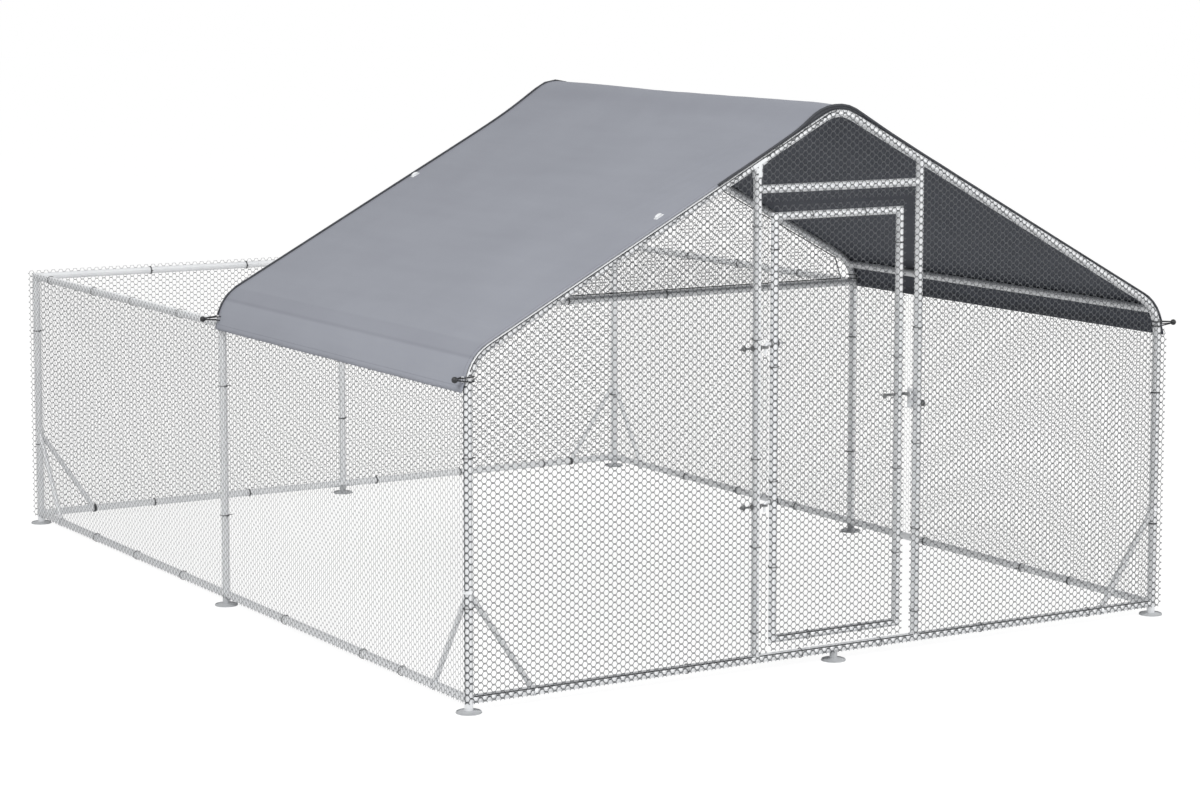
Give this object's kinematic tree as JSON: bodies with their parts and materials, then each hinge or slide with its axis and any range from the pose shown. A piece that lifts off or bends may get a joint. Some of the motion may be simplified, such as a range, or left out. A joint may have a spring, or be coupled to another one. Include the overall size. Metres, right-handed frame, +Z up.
{
  "type": "walk-in poultry pen",
  "caption": "Walk-in poultry pen: tube frame with a pitched cover over the front half, hexagonal netting, corner braces, round feet and a hinged door with a sliding bolt.",
  "frame": {"origin": "on the ground, in the middle of the pen's plan", "axes": "+X along the front to the right, +Y from the front to the back, +Z up"},
  "size_m": [3.154, 4.07, 1.9788],
  "materials": {
    "tube": "galvanised, bright",
    "netting": "galvanised wire",
    "cover": "matt coated cloth, grey",
    "plastic": "matt, light grey",
    "hardware": "zinc plated",
    "elastic": "black"
  },
  "bodies": {
    "pen": {"front_left_post": "tube", "front_right_post": "tube", "front_left_rafter": "tube", "front_right_rafter": "tube", "front_sill": "tube", "left_jamb_post": "tube", "right_jamb_post": "tube", "lintel": "tube", "middle_left_rafter": "tube", "middle_right_rafter": "tube", "tie_bar": "tube", "ridge_tube": "tube", "back_left_post": "tube", "back_right_post": "tube", "back_sill": "tube", "back_top_rail": "tube", "back_middle_post": "tube", "left_sill": "tube", "middle_left_post": "tube", "left_eave_tube": "tube", "left_top_rail": "tube", "right_sill": "tube", "middle_right_post": "tube", "right_eave_tube": "tube", "right_top_rail": "tube", "rafter_tee": "plastic", "latch_keeper": "hardware", "front_left_end_brace": "tube", "front_left_side_brace": "tube", "front_right_end_brace": "tube", "front_right_side_brace": "tube", "back_left_end_brace": "tube", "back_left_side_brace": "tube", "back_right_end_brace": "tube", "back_right_side_brace": "tube", "front_left_foot": "plastic", "front_right_foot": "plastic", "back_left_foot": "plastic", "back_right_foot": "plastic", "front_middle_foot": "plastic", "back_middle_foot": "plastic", "middle_left_foot": "plastic", "middle_right_foot": "plastic", "front_left_net": "netting", "front_right_net": "netting", "front_gable_net": "netting", "back_net": "netting", "middle_gable_net": "netting", "left_net": "netting", "right_net": "netting", "front_left_tie": "elastic", "front_right_tie": "elastic", "middle_left_tie": "elastic", "middle_right_tie": "elastic", "lower_hinge_eye": "hardware", "upper_hinge_eye": "hardware", "cover": "cover"},
    "door": {"door_frame": "tube", "door_net": "netting"},
    "bolt": {"latch_bolt": "hardware"}
  },
  "joints": [
    {"name": "door_hinge", "type": "hinge", "parent": "pen", "child": "door", "pos_m": [-0.3025, -1.99, 0.87], "axis": [0, 0, -1], "range_deg": [0, 120]},
    {"name": "bolt_slide", "type": "slide", "parent": "door", "child": "bolt", "axis": [1, 0, 0], "range_m": [0, 0.018]}
  ]
}
